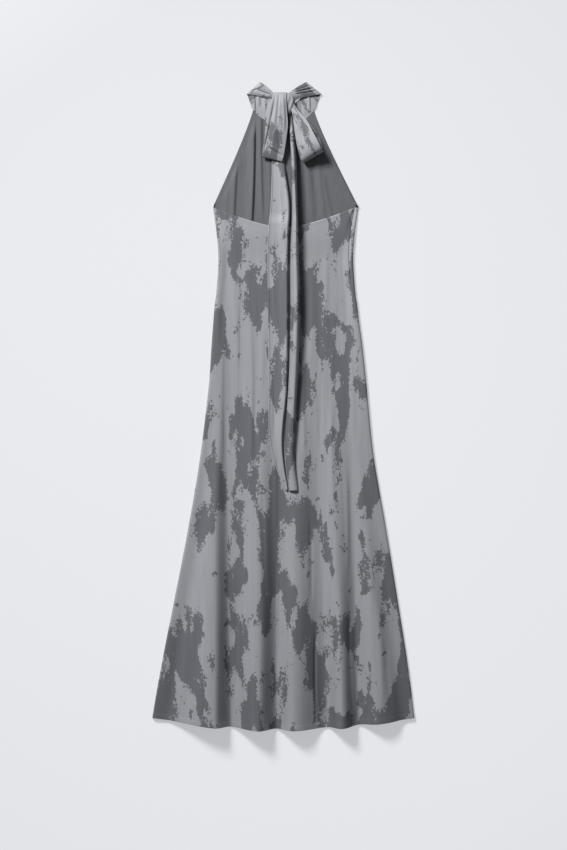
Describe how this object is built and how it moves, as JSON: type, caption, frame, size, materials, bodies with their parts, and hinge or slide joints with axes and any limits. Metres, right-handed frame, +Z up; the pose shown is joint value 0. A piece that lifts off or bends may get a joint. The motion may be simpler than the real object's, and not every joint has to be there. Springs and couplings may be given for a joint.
{
  "type": "halter dress",
  "caption": "Long halter dress laid flat with its back up: flared fluted skirt, low shallow V back, wide folded neck band tied in a bow with hanging loops and long slanted ties.",
  "frame": {"origin": "middle of the laid dress's bounding box, on the surface that it lies on", "axes": "+Y along the dress from the hem to the neck, +X across it to the right in the picture, +Z up off the surface"},
  "size_m": [0.6007, 1.4861, 0.0491],
  "materials": {
    "patterned": "satin jacquard with a ragged light patch pattern on a darker matt ground",
    "wrong_side": "matt wrong side of the jacquard, faintly slubbed"
  },
  "bodies": {
    "root": {"front_panel": "wrong_side", "back_panel": "patterned", "neck_band_front": "patterned", "neck_band_left": "patterned", "neck_band_right": "patterned", "bow_knot": "patterned", "bow_loop_left": "patterned", "bow_loop_right": "patterned", "tie_left": "patterned", "tie_right": "patterned"}
  },
  "joints": []
}
